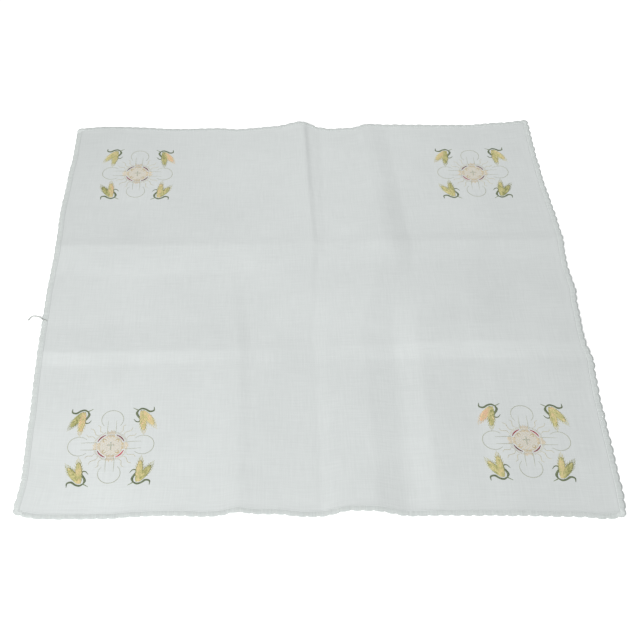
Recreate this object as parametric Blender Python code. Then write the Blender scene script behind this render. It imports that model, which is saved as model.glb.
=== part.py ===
"""Square linen altar cloth with a scalloped edging, lying flat and a little creased from its folds."""

import math

import bpy
import bmesh

# Metres, +Z up. The cloth lies on z = 0, its front edge towards -Y, its middle at the origin.
SIDE = 0.500
CLOTH_THICKNESS = 0.0012

# The edging is a narrow band, scalloped outside. SIDE is measured to the middle of its scallops.
BAND_WIDTH = 0.003
SCALLOP_DEPTH = 0.002
SCALLOPS_A_SIDE = 55
SCALLOP_STEPS = 3
SEWING_GAP = 0.0006
MITRE_GAP = 0.0004

HALF = SIDE / 2
TROUGH = HALF - SCALLOP_DEPTH / 2
GROUND_HALF = TROUGH - BAND_WIDTH - SEWING_GAP

# Where the four corners lie: the cloth was spread by hand, pulled a little off its true square.
# (corner, x, y)
CORNERS = {
    "front left": (-0.2392, -0.2486),
    "front right": (0.2609, -0.2527),
    "back right": (0.2385, 0.2527),
    "back left": (-0.2613, 0.2458),
}

# How far each edge bows out of the straight line between its corners.
# (place along the edge, bow outwards)
EDGE_BOWS = {
    "front": (
        (-0.250, 0.0005), (-0.225, 0.0039), (-0.171, 0.0037), (-0.150, 0.0021), (-0.135, 0.0015),
        (-0.110, 0.0019), (-0.094, 0.0028), (-0.082, 0.0023), (-0.066, -0.0011),
        (-0.049, 0.0003), (-0.036, -0.0001), (-0.012, 0.0017), (0.000, 0.0012), (0.028, -0.0042),
        (0.045, -0.0035), (0.076, -0.0003), (0.097, -0.0006), (0.138, -0.0011), (0.165, -0.0010),
        (0.211, -0.0005), (0.232, 0.0013), (0.250, 0.0001),
    ),
    "back": (
        (-0.250, 0.0010), (-0.220, 0.0035), (-0.125, -0.0028), (-0.095, -0.0026),
        (-0.068, -0.0060), (-0.028, -0.0046), (-0.002, 0.0008), (0.007, 0.0000),
        (0.018, -0.0056), (0.032, -0.0090), (0.054, -0.0092), (0.074, -0.0032), (0.110, -0.0034),
        (0.178, -0.0056), (0.225, -0.0024), (0.250, 0.0010),
    ),
    "left": (
        (-0.250, 0.0015), (-0.215, -0.0014), (-0.160, 0.0001), (-0.086, 0.0025),
        (-0.030, 0.0034), (0.004, 0.0037), (0.060, 0.0019), (0.115, 0.0034), (0.168, 0.0017),
        (0.205, -0.0003), (0.250, -0.0004),
    ),
    "right": (
        (-0.250, -0.0009), (-0.220, 0.0006), (-0.174, 0.0011), (-0.130, 0.0015),
        (-0.104, 0.0028), (-0.088, 0.0042), (-0.068, 0.0012), (-0.056, 0.0012), (-0.040, 0.0020),
        (-0.020, 0.0026), (0.000, 0.0045), (0.010, 0.0037), (0.028, 0.0024), (0.044, 0.0034),
        (0.070, 0.0048), (0.095, 0.0038), (0.118, 0.0024), (0.150, 0.0004), (0.200, -0.0006),
        (0.250, -0.0006),
    ),
}

# Linen that was stored folded lies in nearly flat panels that meet in straight fold lines, so its
# height is lofted over those lines: straight from one line to the next, and straight along a line
# from station to station. The heights of both sets of lines are added. The lowest part of the sum
# is pressed flat on the table by the cloth's own weight.
PRESSED_FLAT = 0.0004

# Lines that run from front to back, and the stations' y.
# (x at each station, height at each station, mesh cells up to the next line)
LONG_STATIONS = (-0.250, -0.205, -0.060, 0.060, 0.205, 0.250)
LONG_LINES = (
    ((-0.250,) * 6, (0.0,) * 6, 4),
    ((-0.205,) * 6, (0.0,) * 6, 10),
    ((-0.066, -0.066, -0.066, -0.078, -0.080, -0.080), (0.0040, 0.0027, 0.0018, 0.0008, 0.0006, 0.0006), 2),
    ((-0.055, -0.056, -0.057, -0.066, -0.068, -0.068), (0.0034, 0.0022, 0.0008, 0.0009, 0.0010, 0.0011), 5),
    ((-0.001, -0.001, -0.0015, 0.0065, 0.003, 0.002), (0.0018, 0.0014, 0.0009, 0.0022, 0.0040, 0.0048), 1),
    ((0.0025, 0.0025, 0.002, 0.010, 0.007, 0.006), (0.0016, 0.0012, 0.0008, 0.0015, 0.0020, 0.0026), 2),
    ((0.013, 0.013, 0.013, 0.018, 0.020, 0.020), (0.0024, 0.0019, 0.0014, 0.0014, 0.0008, 0.0009), 5),
    ((0.048, 0.050, 0.046, 0.076, 0.070, 0.064), (0.0036, 0.0024, 0.0016, 0.0034, 0.0036, 0.0030), 3),
    ((0.076, 0.076, 0.076, 0.084, 0.080, 0.073), (0.0002, 0.0000, 0.0001, 0.0029, 0.0033, 0.0029), 3),
    ((0.099, 0.099, 0.097, 0.102, 0.095, 0.092), (0.0014, 0.0021, 0.0019, 0.0002, 0.0014, 0.0014), 4),
    ((0.140, 0.142, 0.140, 0.135, 0.135, 0.135), (0.0003, 0.0004, 0.0004, 0.0003, 0.0008, 0.0008), 3),
    ((0.165, 0.162, 0.162, 0.165, 0.165, 0.165), (0.0005, 0.0009, 0.0008, 0.0004, 0.0008, 0.0008), 4),
    ((0.200,) * 6, (0.0,) * 6, 5),
    ((0.250,) * 6, (0.0,) * 6, 0),
)

# Lines that run from left to right, and the stations' x.
# (y at each station, height at each station, mesh cells up to the next line)
CROSS_STATIONS = (-0.250, -0.150, 0.000, 0.150, 0.250)
CROSS_LINES = (
    ((-0.250,) * 5, (0.0,) * 5, 12),
    ((-0.092, -0.090, -0.088, -0.086, -0.086), (0.0004, 0.0004, 0.0002, 0.0002, 0.0004), 2),
    ((-0.076, -0.076, -0.074, -0.067, -0.068), (0.0020, 0.0018, 0.0004, 0.0032, 0.0016), 4),
    ((-0.040, -0.040, -0.044, -0.044, -0.050), (0.0002, 0.0002, 0.0003, 0.0036, 0.0016), 6),
    ((0.020, 0.020, 0.030, 0.040, 0.040), (0.0002, 0.0002, 0.0003, 0.0012, 0.0008), 4),
    ((0.062, 0.062, 0.063, 0.066, 0.066), (0.0031, 0.0027, 0.0008, 0.0020, 0.0014), 2),
    ((0.073, 0.074, 0.075, 0.078, 0.077), (0.0024, 0.0020, 0.0005, 0.0010, 0.0007), 6),
    ((0.135, 0.135, 0.140, 0.150, 0.150), (0.0, 0.0, 0.0, 0.0, 0.0), 9),
    ((0.250,) * 5, (0.0,) * 5, 0),
)

LINEN_COLOUR = (0.68, 0.72, 0.69, 1.0)
EDGING_COLOUR = (0.72, 0.75, 0.72, 1.0)
CLOTH_ROUGHNESS = 0.9
SHARP_ANGLE = math.radians(40)


def eased(t):
    """0 to 1 with level ends, held at both."""
    t = min(max(t, 0.0), 1.0)
    return t * t * (3 - 2 * t)


def mixed(a, b, share):
    return a + (b - a) * share


def bow(edge, place):
    """How far an edge bows outwards at a place along it."""
    rows = EDGE_BOWS[edge]
    for (start, first), (end, last) in zip(rows, rows[1:]):
        if place <= end:
            return mixed(first, last, eased((place - start) / (end - start)))
    return rows[-1][1]


def spread(x, y):
    """Where a point of the true square lies on the table."""
    right, back = x / SIDE + 0.5, y / SIDE + 0.5
    front_x = mixed(CORNERS["front left"][0], CORNERS["front right"][0], right)
    back_x = mixed(CORNERS["back left"][0], CORNERS["back right"][0], right)
    left_y = mixed(CORNERS["front left"][1], CORNERS["back left"][1], back)
    right_y = mixed(CORNERS["front right"][1], CORNERS["back right"][1], back)
    # The bow of an edge dies out towards the opposite edge.
    across = bow("right", y) * right**3 - bow("left", y) * (1 - right) ** 3
    along = bow("back", x) * back**3 - bow("front", x) * (1 - back) ** 3
    return mixed(front_x, back_x, back) + across, mixed(left_y, right_y, right) + along


def between(stations, values, place):
    """A value read straight between the stations on both sides of a place."""
    for start, end, first, last in zip(stations, stations[1:], values, values[1:]):
        if place <= end:
            return mixed(first, last, (place - start) / (end - start))
    return values[-1]


def lofted(across, along, stations, lines):
    """The height of one set of lines at a place across them and a place along them."""
    places = [between(stations, line[0], along) for line in lines]
    heights = [between(stations, line[1], along) for line in lines]
    height = heights[0]
    for low, high, first, last in zip(places, places[1:], heights, heights[1:]):
        height += (last - first) * min(max((across - low) / (high - low), 0.0), 1.0)
    return height


def laid(x, y):
    """A point of the true square, where it lies. Its height is that of the underside."""
    height = lofted(x, y, LONG_STATIONS, LONG_LINES) + lofted(y, x, CROSS_STATIONS, CROSS_LINES)
    return (*spread(x, y), max(height - PRESSED_FLAT, 0.0))


def mesh_lines(stations, lines):
    """The place at each station of every mesh line: the fold lines and the even ones between."""
    places = []
    for (low, _, cells), (high, _, _) in zip(lines, lines[1:]):
        for step in range(cells):
            places.append([mixed(a, b, step / cells) for a, b in zip(low, high)])
    places.append(lines[-1][0])
    return places


def grid_mesh(name, columns, rows, place):
    """A grid of columns by rows cells, each point moved to place(column, row), and thickened."""
    shape = bmesh.new()
    bmesh.ops.create_grid(shape, x_segments=columns, y_segments=rows, size=1.0)
    for point in shape.verts:
        column = round((point.co.x + 1) / 2 * columns)
        row = round((point.co.y + 1) / 2 * rows)
        point.co = place(column, row)
    # The cloth's thickness goes straight up, so that the sides of all pieces stay parallel.
    upper = bmesh.ops.extrude_face_region(shape, geom=shape.faces[:])
    upper_points = [item for item in upper["geom"] if isinstance(item, bmesh.types.BMVert)]
    bmesh.ops.translate(shape, verts=upper_points, vec=(0, 0, CLOTH_THICKNESS))
    bmesh.ops.recalc_face_normals(shape, faces=shape.faces)
    mesh = bpy.data.meshes.new(name)
    shape.to_mesh(mesh)
    shape.free()
    mesh.shade_smooth()
    mesh.set_sharp_from_angle(angle=SHARP_ANGLE)
    return mesh


def cloth_piece(mesh, material, collection):
    """An object for a mesh, with its material."""
    mesh.materials.append(material)
    piece = bpy.data.objects.new(mesh.name, mesh)
    collection.objects.link(piece)
    return piece


def cloth_material(name, colour):
    material = bpy.data.materials.new(name)
    material.use_nodes = True
    shader = material.node_tree.nodes["Principled BSDF"]
    shader.inputs["Base Color"].default_value = colour
    shader.inputs["Roughness"].default_value = CLOTH_ROUGHNESS
    shader.inputs["Metallic"].default_value = 0.0
    material.diffuse_color = colour
    return material


def ground_points():
    """The points of the true square where the ground's mesh lines cross, row by row."""
    columns = mesh_lines(LONG_STATIONS, LONG_LINES)
    rows = mesh_lines(CROSS_STATIONS, CROSS_LINES)

    def crossing(column, row):
        # Both kinds of line slant a little, so their crossing is found in a few steps.
        x, y = 0.0, 0.0
        for _ in range(4):
            y = between(CROSS_STATIONS, row, x)
            x = between(LONG_STATIONS, column, y)
        return min(max(x, -GROUND_HALF), GROUND_HALF), min(max(y, -GROUND_HALF), GROUND_HALF)

    return [[crossing(column, row) for column in columns] for row in rows]


def linen_ground(points, collection):
    """The square of linen. The lines of its mesh run along the folds."""

    def place(column, row):
        return laid(*points[row][column])

    mesh = grid_mesh("linen_ground", len(points[0]) - 1, len(points) - 1, place)
    return cloth_piece(mesh, cloth_material("Plain-weave linen", LINEN_COLOUR), collection)


def hem_lines(points):
    """Per side: the ground's points along it, the axis it runs along and the outward direction."""
    return {
        "front": (points[0], 0, (0, -1)),
        "right": ([row[-1] for row in points], 1, (1, 0)),
        "back": (points[-1], 0, (0, 1)),
        "left": ([row[0] for row in points], 1, (-1, 0)),
    }


def scallop(share):
    """How far the edge stands out of its trough line, as a share of the scallop's depth."""
    return (1 - (2 * share - 1) ** 2) ** 0.5


def edging(side, hem, collection, material):
    """One length of edging, scalloped along its outer side and mitred at both ends."""
    steps = SCALLOPS_A_SIDE * SCALLOP_STEPS
    points, axis, outward = hem
    places = [point[axis] for point in points]
    lying = [laid(*point) for point in points]

    def beside_hem(along):
        # The ground's edge is straight from mesh line to mesh line, and the band follows it.
        x, y, z = (between(places, [point[i] for point in lying], along) for i in range(3))
        return x + outward[0] * SEWING_GAP, y + outward[1] * SEWING_GAP, z

    def place(step, row):
        if row == 0:
            return beside_hem(mixed(-GROUND_HALF, GROUND_HALF, step / steps))
        reach = TROUGH - MITRE_GAP
        along = mixed(-reach, reach, step / steps)
        outwards = TROUGH + SCALLOP_DEPTH * scallop(step % SCALLOP_STEPS / SCALLOP_STEPS)
        spot = [outward[0] * outwards, outward[1] * outwards]
        spot[axis] = along
        return laid(*spot)

    mesh = grid_mesh("edging_" + side, steps, 1, place)
    return cloth_piece(mesh, material, collection)


def main():
    for item in list(bpy.data.objects):
        bpy.data.objects.remove(item, do_unlink=True)
    collection = bpy.data.collections.new("Altar cloth")
    bpy.context.scene.collection.children.link(collection)
    points = ground_points()
    linen_ground(points, collection)
    material = cloth_material("Cotton edging", EDGING_COLOUR)
    for side, hem in hem_lines(points).items():
        edging(side, hem, collection, material)


main()
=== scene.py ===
# %% [markdown]
# # A linen altar cloth with four embroidered corners
#
# The object is one square of white linen, half a metre a side, with a narrow scalloped edging and
# an embroidered cross with ears of wheat in each corner. It lies spread on a table and still shows
# where it was folded for storage.
#
# The lesson works in the order of a sewing room: the cloth is cut, edged and embroidered while it
# is perfectly flat, because flat pieces are easy to measure and to repeat. Only at the end does one
# function lay everything on the table, over the folds, so stitches and edging follow the cloth.

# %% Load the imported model
import math

import bmesh
import bpy
import numpy as np
from mathutils import Matrix, Vector, noise


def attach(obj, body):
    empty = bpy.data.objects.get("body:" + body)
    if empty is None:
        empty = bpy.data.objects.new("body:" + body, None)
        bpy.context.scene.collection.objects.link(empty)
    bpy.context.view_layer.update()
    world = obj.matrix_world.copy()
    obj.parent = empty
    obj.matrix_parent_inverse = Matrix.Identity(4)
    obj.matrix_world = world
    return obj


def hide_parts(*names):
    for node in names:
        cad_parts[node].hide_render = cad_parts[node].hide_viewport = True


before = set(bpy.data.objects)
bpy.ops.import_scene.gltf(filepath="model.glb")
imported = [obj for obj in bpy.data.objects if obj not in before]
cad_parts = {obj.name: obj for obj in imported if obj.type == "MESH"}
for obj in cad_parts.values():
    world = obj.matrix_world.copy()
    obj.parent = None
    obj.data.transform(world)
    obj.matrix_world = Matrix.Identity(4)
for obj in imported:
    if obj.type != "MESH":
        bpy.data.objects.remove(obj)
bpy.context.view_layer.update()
SIDES = ("front", "right", "back", "left")
CLOTH_NODE = "linen_ground"
EDGING_NODES = {side: "edging_" + side for side in SIDES}


print("nodes:", sorted(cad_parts))

# %% [markdown]
# ## Small helpers
#
# Colours are written as sRGB hex, the way a colour picker gives them, and one function turns them
# into the linear values that shaders work in. The others add an object, a material or a shader
# node, select pieces, and read or move the points of a mesh as one array, which is much quicker
# than a loop over its vertices.

# %% Colours, materials, selection and points
MM = 0.001


def linear(hex_colour):
    """The linear RGBA of an sRGB hex colour such as "#D8DDD7"."""
    parts = [int(hex_colour[i : i + 2], 16) / 255 for i in (1, 3, 5)]
    curve = [c / 12.92 if c <= 0.04045 else ((c + 0.055) / 1.055) ** 2.4 for c in parts]
    return (*curve, 1.0)


def new_object(name, data):
    """An object that holds this data, linked into the scene."""
    item = bpy.data.objects.new(name, data)
    bpy.context.scene.collection.objects.link(item)
    return item


def new_material(name, inputs):
    """A material with these inputs of its Principled shader."""
    material = bpy.data.materials.new(name)
    material.use_nodes = True
    shader = material.node_tree.nodes["Principled BSDF"]
    for entry, value in inputs.items():
        shader.inputs[entry].default_value = value
    return material


def add_node(tree, kind, inputs=None, **settings):
    """A new node. An input is a plain value, or another node's output socket to link."""
    node = tree.nodes.new(kind)
    for name, value in settings.items():
        setattr(node, name, value)
    for name, value in (inputs or {}).items():
        if isinstance(value, bpy.types.NodeSocket):
            tree.links.new(value, node.inputs[name])
        else:
            node.inputs[name].default_value = value
    return node


def select_only(*objects):
    """In Object Mode, selects these objects and makes the first one active."""
    bpy.ops.object.select_all(action="DESELECT")
    for item in objects:
        item.select_set(True)
    bpy.context.view_layer.objects.active = objects[0]


def count_triangles(piece):
    piece.data.calc_loop_triangles()
    return len(piece.data.loop_triangles)


def points_of(piece):
    """The places of a piece's vertices, a row for each."""
    points = np.empty(3 * len(piece.data.vertices), np.float32)
    piece.data.vertices.foreach_get("co", points)
    return points.reshape(-1, 3).astype(float)


def set_points(piece, points):
    """Moves a piece's vertices to these places."""
    piece.data.vertices.foreach_set("co", points.astype(np.float32).ravel())
    piece.data.update()


def leave_edit_mode():
    """Turns all faces outwards and goes back to Object Mode."""
    bpy.ops.mesh.select_all(action="SELECT")
    bpy.ops.mesh.normals_make_consistent(inside=False)
    bpy.ops.object.mode_set(mode="OBJECT")


print("white linen in linear light:", [round(c, 3) for c in linear("#D8DDD7")])

# %% [markdown]
# ## Camera
#
# The view looks down on the cloth from the front at a little under fifty degrees, a normal angle
# for photographing linen on a table. The camera is placed by the point it aims at, a distance and
# three angles, as a photographer would set a tripod, and then by a focal length.

# %% Camera
AIM = Vector((0.0105, -0.0383, 0.0))
DISTANCE = 1.0404
AZIMUTH = math.radians(-1.507)
ELEVATION = math.radians(48.782)
ROLL = math.radians(-1.535)
LENS_MM = 62.229
SENSOR_MM = 36.0

backwards = Vector(
    (
        -math.sin(AZIMUTH) * math.cos(ELEVATION),
        -math.cos(AZIMUTH) * math.cos(ELEVATION),
        math.sin(ELEVATION),
    )
)
rightwards = Vector((0, 0, 1)).cross(backwards).normalized()
upwards = backwards.cross(rightwards)
tilted_right = math.cos(ROLL) * rightwards + math.sin(ROLL) * upwards
tilted_up = math.cos(ROLL) * upwards - math.sin(ROLL) * rightwards

camera_data = bpy.data.cameras.new("Table view")
camera_data.lens = LENS_MM
camera_data.sensor_width = SENSOR_MM
camera_data.sensor_fit = "HORIZONTAL"
camera = new_object("Table view", camera_data)
turn = Matrix((tilted_right, tilted_up, backwards)).transposed().to_4x4()
camera.matrix_world = Matrix.Translation(AIM + DISTANCE * backwards) @ turn
bpy.context.scene.camera = camera
print("camera at", [round(c, 3) for c in camera.matrix_world.translation])

# %% [markdown]
# ## Table and light
#
# White cloth shows its folds only when light comes low and mostly from one side. One soft lamp
# stands low at the front left, so a slope of one in fifty already looks a shade darker or
# lighter. A small lamp above the back lifts the far part, and an even white surrounding fills the
# shadows. The table is matt white and a little lit from below, like a photographer's light table,
# so that it stays whiter than the linen and the cloth's outline reads clearly.

# %% Floor
FLOOR_SIDE = 6.0
FLOOR_DROP = 0.3 * MM
FLOOR_GLOW = 0.25

bpy.ops.mesh.primitive_plane_add(size=FLOOR_SIDE, location=(0, 0, -FLOOR_DROP))
floor = bpy.context.active_object
floor.name = "floor"
select_only(floor)
bpy.ops.object.transform_apply(location=True, rotation=False, scale=False)

floor_paint = new_material(
    "Matt white table paint",
    {
        "Base Color": linear("#FDFDFD"),
        "Roughness": 0.9,
        "Specular IOR Level": 0.1,
        "Emission Color": linear("#FFFFFF"),
        "Emission Strength": FLOOR_GLOW,
    },
)
floor.data.materials.append(floor_paint)

# %% Lights
# (name, place, size, watts)
LAMPS = (
    ("Key light", (-0.76, -1.43, 1.18), 0.6, 41.7),
    ("Top light", (0.1, 0.4, 0.65), 0.4, 1.9),
)
FILL_STRENGTH = 0.30

for name, place, size, watts in LAMPS:
    lamp_data = bpy.data.lights.new(name, "AREA")
    lamp_data.shape = "SQUARE"
    lamp_data.size = size
    lamp_data.energy = watts
    lamp = new_object(name, lamp_data)
    lamp.location = place
    lamp.rotation_euler = Vector(place).to_track_quat("Z", "Y").to_euler()

world = bpy.data.worlds.new("Soft room light")
world.use_nodes = True
world.node_tree.nodes["Background"].inputs["Color"].default_value = linear("#FFFFFF")
world.node_tree.nodes["Background"].inputs["Strength"].default_value = FILL_STRENGTH
bpy.context.scene.world = world
bpy.context.scene.view_settings.view_transform = "Standard"
print("lamps:", len(LAMPS), "and an even fill of", FILL_STRENGTH)

# %% [markdown]
# ## The cut sizes
#
# Everything is measured on the flat cloth, from its middle: x to the right, y to the back. The
# side of 500 mm runs between the middles of the scallops.

# %% Sizes
SIDE = 500 * MM
SCALLOPS_A_SIDE = 55
SCALLOP_DEPTH = 2.0 * MM
BAND_WIDTH = 3.0 * MM
HALF = SIDE / 2
TROUGH = HALF - SCALLOP_DEPTH / 2
GROUND_HALF = TROUGH - BAND_WIDTH
PITCH = 2 * TROUGH / SCALLOPS_A_SIDE
LINEN_THICKNESS = 0.45 * MM
print("linen square", round(2000 * GROUND_HALF, 1), "mm, scallops every", round(1000 * PITCH, 2), "mm")

# %% [markdown]
# ## How the cloth lies
#
# A hand-spread cloth is never a true square: its corners are pulled a little, its edges bow, and
# the pressed folds stand up in soft ridges. A few short tables hold that: where the corners lie,
# how the edges bow, and where the fold lines run and how high each stands.
#
# Modelling the folds by hand in the mesh would work too, but a table can be read and changed, and
# the same numbers move the linen, the edging and every stitch.

# %% Corners and edges
CORNERS = {
    "front left": (-0.2392, -0.2486),
    "front right": (0.2609, -0.2527),
    "back right": (0.2385, 0.2527),
    "back left": (-0.2613, 0.2458),
}

# (place along the edge, bow outwards), in millimetres
EDGE_BOWS = {
    "front": (
        (-250, 0.5), (-225, 3.9), (-171, 3.7), (-150, 2.1), (-135, 1.5), (-110, 1.9), (-94, 2.8),
        (-82, 2.3), (-66, -1.1), (-49, 0.3), (-36, -0.1), (-12, 1.7), (0, 1.2), (28, -4.2),
        (45, -3.5), (76, -0.3), (97, -0.6), (138, -1.1), (165, -1.0), (211, -0.5), (232, 1.3),
        (250, 0.1),
    ),
    "back": (
        (-250, 1.0), (-220, 3.5), (-125, -2.8), (-95, -2.6), (-68, -6.0), (-28, -4.6), (-2, 0.8),
        (7, 0.0), (18, -5.6), (32, -9.0), (54, -9.2), (74, -3.2), (110, -3.4), (178, -5.6),
        (225, -2.4), (250, 1.0),
    ),
    "left": (
        (-250, 1.5), (-215, -1.4), (-160, 0.1), (-86, 2.5), (-30, 3.4), (4, 3.7), (60, 1.9),
        (115, 3.4), (168, 1.7), (205, -0.3), (250, -0.4),
    ),
    "right": (
        (-250, -0.9), (-220, 0.6), (-174, 1.1), (-130, 1.5), (-104, 2.8), (-88, 4.2), (-68, 1.2),
        (-56, 1.2), (-40, 2.0), (-20, 2.6), (0, 4.5), (10, 3.7), (28, 2.4), (44, 3.4), (70, 4.8),
        (95, 3.8), (118, 2.4), (150, 0.4), (200, -0.6), (250, -0.6),
    ),
}


def eased(t):
    """0 to 1 with level ends, held at both."""
    t = np.clip(t, 0.0, 1.0)
    return t * t * (3 - 2 * t)


def mixed(a, b, share):
    return a + (b - a) * share


def bow(edge, place):
    """How far an edge bows outwards at places along it."""
    places, bows = MM * np.array(EDGE_BOWS[edge]).T
    row = np.clip(np.searchsorted(places, place) - 1, 0, len(places) - 2)
    share = (place - places[row]) / (places[row + 1] - places[row])
    return mixed(bows[row], bows[row + 1], eased(share))


def spread(x, y):
    """Where points of the true square lie on the table."""
    right, back = x / SIDE + 0.5, y / SIDE + 0.5
    front_x = mixed(CORNERS["front left"][0], CORNERS["front right"][0], right)
    back_x = mixed(CORNERS["back left"][0], CORNERS["back right"][0], right)
    left_y = mixed(CORNERS["front left"][1], CORNERS["back left"][1], back)
    right_y = mixed(CORNERS["front right"][1], CORNERS["back right"][1], back)
    across = bow("right", y) * right**3 - bow("left", y) * (1 - right) ** 3
    along = bow("back", x) * back**3 - bow("front", x) * (1 - back) ** 3
    return mixed(front_x, back_x, back) + across, mixed(left_y, right_y, right) + along


print("middle of the cloth lies at", [round(1000 * float(c), 1) for c in spread(0.0, 0.0)], "mm")

# %% [markdown]
# Folded cloth is made of nearly flat panels that meet in straight lines, so its shape can be
# lofted like a hull. Each line runs from one edge of the cloth to the other. A table gives its
# place and its height at a few stations on the way, and between two neighbouring lines the cloth
# is a straight slope. One set of lines runs from front to back, the other from left to right,
# and their heights are added.

# %% Fold lines
# Stations along the lines, then (place across, height) at each station, in millimetres.
LONG_STATIONS = (-250, -205, -60, 60, 205, 250)
LONG_LINES = (
    ((-250, 0.0), (-250, 0.0), (-250, 0.0), (-250, 0.0), (-250, 0.0), (-250, 0.0)),
    ((-205, 0.0), (-205, 0.0), (-205, 0.0), (-205, 0.0), (-205, 0.0), (-205, 0.0)),
    ((-66, 4.0), (-66, 2.7), (-66, 1.8), (-78, 0.8), (-80, 0.6), (-80, 0.6)),
    ((-55, 3.4), (-56, 2.2), (-57, 0.8), (-66, 0.9), (-68, 1.0), (-68, 1.1)),
    ((-1, 1.8), (-1, 1.4), (-1.5, 0.9), (6.5, 2.2), (3, 4.0), (2, 4.8)),
    ((2.5, 1.6), (2.5, 1.2), (2, 0.8), (10, 1.5), (7, 2.0), (6, 2.6)),
    ((13, 2.4), (13, 1.9), (13, 1.4), (18, 1.4), (20, 0.8), (20, 0.9)),
    ((48, 3.6), (50, 2.4), (46, 1.6), (76, 3.4), (70, 3.6), (64, 3.0)),
    ((76, 0.2), (76, 0.0), (76, 0.1), (84, 2.9), (80, 3.3), (73, 2.9)),
    ((99, 1.4), (99, 2.1), (97, 1.9), (102, 0.2), (95, 1.4), (92, 1.4)),
    ((140, 0.3), (142, 0.4), (140, 0.4), (135, 0.3), (135, 0.8), (135, 0.8)),
    ((165, 0.5), (162, 0.9), (162, 0.8), (165, 0.4), (165, 0.8), (165, 0.8)),
    ((200, 0.0), (200, 0.0), (200, 0.0), (200, 0.0), (200, 0.0), (200, 0.0)),
    ((250, 0.0), (250, 0.0), (250, 0.0), (250, 0.0), (250, 0.0), (250, 0.0)),
)
CROSS_STATIONS = (-250, -150, 0, 150, 250)
CROSS_LINES = (
    ((-250, 0.0), (-250, 0.0), (-250, 0.0), (-250, 0.0), (-250, 0.0)),
    ((-92, 0.4), (-90, 0.4), (-88, 0.2), (-86, 0.2), (-86, 0.4)),
    ((-76, 2.0), (-76, 1.8), (-74, 0.4), (-67, 3.2), (-68, 1.6)),
    ((-40, 0.2), (-40, 0.2), (-44, 0.3), (-44, 3.6), (-50, 1.6)),
    ((20, 0.2), (20, 0.2), (30, 0.3), (40, 1.2), (40, 0.8)),
    ((62, 3.1), (62, 2.7), (63, 0.8), (66, 2.0), (66, 1.4)),
    ((73, 2.4), (74, 2.0), (75, 0.5), (78, 1.0), (77, 0.7)),
    ((135, 0.0), (135, 0.0), (140, 0.0), (150, 0.0), (150, 0.0)),
    ((250, 0.0), (250, 0.0), (250, 0.0), (250, 0.0), (250, 0.0)),
)


def lofted(across, along, stations, lines):
    """The height of a set of lines at places across them and along them."""
    at = [
        [MM * np.interp(along, MM * np.array(stations), values) for values in zip(*line)]
        for line in lines
    ]
    height = at[0][1]
    for (low, low_height), (high, high_height) in zip(at, at[1:]):
        height = height + (high_height - low_height) * np.clip((across - low) / (high - low), 0, 1)
    return height


print(len(LONG_LINES), "lines from front to back,", len(CROSS_LINES), "from left to right")

# %% [markdown]
# Between its folds the linen is not glass-flat. It has low waves of a hand's width and a fine
# crumple a thumb's width across, longer along the threads than over them. Both come from smooth
# noise with a fixed origin, so each run gives the same cloth. The heights are worked out once on a
# fine lattice and read from there, which is quick enough for a few hundred thousand points.

# %% The height of the laid cloth
LATTICE_STEP = 1.25 * MM
LATTICE_HALF = 256 * MM
# (wave along x, wave along y, height), in millimetres
CRUMPLES = (
    (120, 140, 0.60),
    (45, 80, 0.20),
    (24, 16, 0.05),
)
# far enough apart in the noise for the three to be unlike each other
NOISE_STEP = 7.3


def crumple(x, y):
    """The soft uneven height of one point, from three sizes of noise."""
    total = 0.0
    for row, (wave_x, wave_y, tall) in enumerate(CRUMPLES):
        place = Vector((x / (MM * wave_x), y / (MM * wave_y), NOISE_STEP * row))
        total += MM * tall * noise.noise(place)
    return total


lattice = np.arange(-LATTICE_HALF, LATTICE_HALF + LATTICE_STEP, LATTICE_STEP)
lattice_y, lattice_x = np.meshgrid(lattice, lattice, indexing="ij")
heights = lofted(lattice_x, lattice_y, LONG_STATIONS, LONG_LINES)
heights = heights + lofted(lattice_y, lattice_x, CROSS_STATIONS, CROSS_LINES)
# The cloth's own weight presses its lowest parts flat on the table.
PRESSED_FLAT = 0.4 * MM
heights = np.maximum(heights - PRESSED_FLAT, 0)
for _ in range(2):
    # A fold line is about two millimetres wide, so each height is mixed with its neighbours'.
    rim = np.pad(heights, 1, mode="edge")
    heights = (rim[1:-1, :-2] + 2 * rim[1:-1, 1:-1] + rim[1:-1, 2:]) / 4
    rim = np.pad(heights, 1, mode="edge")
    heights = (rim[:-2, 1:-1] + 2 * rim[1:-1, 1:-1] + rim[2:, 1:-1]) / 4
# The crumple goes up and down from a height just above the table.
CRUMPLE_LIFT = 0.2 * MM
heights += np.array([[crumple(x, y) for x in lattice] for y in lattice]) + CRUMPLE_LIFT
# Linen can't sink into the table: low values flatten out softly at zero.
SOFT_FOOT = 0.25 * MM
heights = 0.5 * (heights + np.sqrt(heights**2 + SOFT_FOOT**2)) - SOFT_FOOT / 2
heights = np.maximum(heights, 0)


def height_at(x, y):
    """The height of the cloth's underside at points of the flat cloth."""
    column = np.clip((x + LATTICE_HALF) / LATTICE_STEP, 0, len(lattice) - 1.001)
    row = np.clip((y + LATTICE_HALF) / LATTICE_STEP, 0, len(lattice) - 1.001)
    c, r = column.astype(int), row.astype(int)
    near = mixed(heights[r, c], heights[r, c + 1], column - c)
    far = mixed(heights[r + 1, c], heights[r + 1, c + 1], column - c)
    return mixed(near, far, row - r)


def lay(piece):
    """Moves a flat piece to where it lies, keeping its height above the cloth."""
    x, y, z = points_of(piece).T
    laid_x, laid_y = spread(x, y)
    set_points(piece, np.column_stack((laid_x, laid_y, z + height_at(x, y))))


print("highest fold", round(1000 * float(heights.max()), 2), "mm")

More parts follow.
